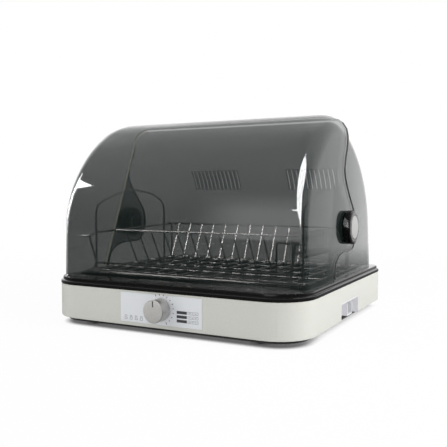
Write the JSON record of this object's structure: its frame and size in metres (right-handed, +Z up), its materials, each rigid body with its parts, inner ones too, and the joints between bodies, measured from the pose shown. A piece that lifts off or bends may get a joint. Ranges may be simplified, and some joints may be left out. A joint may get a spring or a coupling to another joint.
{
  "type": "electric dish dryer",
  "caption": "Table-top dish dryer: low base with round timer knob and blower, wire dish rack, and a smoked dome whose front lid swings up and back over a fixed rear cover.",
  "frame": {"origin": "on the table, at the centre of the overall plan box, knob and cord gland included", "axes": "+X to the user's right, +Y to the back, +Z up; the control side faces -Y"},
  "size_m": [0.4916, 0.4788, 0.364],
  "materials": {
    "cream": "satin",
    "black_gloss": "gloss",
    "dark": "matt",
    "plate": "satin",
    "brushed": "brushed",
    "steel": "polished",
    "silver": "satin",
    "smoked": "smoked, clear",
    "rubber": "matt",
    "grey": "matt",
    "pale_grey": "satin",
    "aluminium": "plain"
  },
  "bodies": {
    "base": {"base_housing": "cream", "bottom_pan": "dark", "foot_front_left": "rubber", "foot_front_right": "rubber", "foot_rear_left": "rubber", "foot_rear_right": "rubber", "base_screw_front_left": "steel", "base_screw_front_right": "steel", "base_screw_rear_left": "steel", "base_screw_rear_right": "steel", "deck": "black_gloss", "air_outlet_grille": "dark", "control_plate": "plate", "timer_body": "grey", "rear_cover": "smoked", "cover_screw_left": "steel", "cover_screw_right": "steel", "hinge_pin_left": "dark", "hinge_pin_right": "dark", "side_recess_liner": "grey", "blower_scroll": "dark", "blower_motor": "aluminium", "heater_duct": "dark", "heater_block": "aluminium", "thermal_cutout": "silver", "terminal_block": "pale_grey", "cord_gland": "rubber"},
    "lid": {"front_lid": "smoked", "hinge_knob_left": "black_gloss", "hinge_knob_right": "black_gloss", "hinge_cap_left": "silver", "hinge_cap_right": "silver", "hinge_spacer_left": "black_gloss", "hinge_spacer_right": "black_gloss"},
    "timer_dial": {"timer_knob": "brushed", "knob_index": "dark", "timer_shaft": "brushed"},
    "tray": {"drip_tray": "black_gloss"},
    "rack": {"rack_grid": "steel", "rack_rear_rail": "steel", "rack_front_rail": "steel", "rack_low_rail": "steel", "rack_end_left": "steel", "rack_end_right": "steel", "rack_handle_left": "steel", "rack_handle_right": "steel", "plate_divider_01": "steel", "plate_divider_02": "steel", "plate_divider_03": "steel", "plate_divider_04": "steel", "plate_divider_05": "steel", "plate_divider_06": "steel", "plate_divider_07": "steel", "plate_divider_08": "steel", "plate_divider_09": "steel", "plate_divider_10": "steel", "plate_divider_11": "steel"},
    "basket": {"cutlery_basket": "steel"},
    "fan": {"impeller": "grey"},
    "spout": {"water_spout": "pale_grey"}
  },
  "joints": [
    {"name": "lid_hinge", "type": "hinge", "parent": "base", "child": "lid", "pos_m": [0, 0.02705, 0.169], "axis": [-1, 0, 0], "range_deg": [0, 82]},
    {"name": "timer_turn", "type": "hinge", "parent": "base", "child": "timer_dial", "pos_m": [0.002, -0.23925, 0.044], "axis": [0, 1, 0], "range_deg": [0, 300]},
    {"name": "tray_lift", "type": "slide", "parent": "base", "child": "tray", "axis": [0, 0, 1], "range_m": [0, 0.012]},
    {"name": "rack_lift", "type": "slide", "parent": "tray", "child": "rack", "axis": [0, 0, 1], "range_m": [0, 0.03]},
    {"name": "basket_lift", "type": "slide", "parent": "rack", "child": "basket", "axis": [0, 0, 1], "range_m": [0, 0.06]},
    {"name": "fan_spin", "type": "hinge", "parent": "base", "child": "fan", "pos_m": [-0.045, 0.05075, 0.0175], "axis": [0, 0, 1], "continuous": true},
    {"name": "spout_pull", "type": "slide", "parent": "base", "child": "spout", "axis": [1, 0, 0], "range_m": [0, 0.018]}
  ]
}
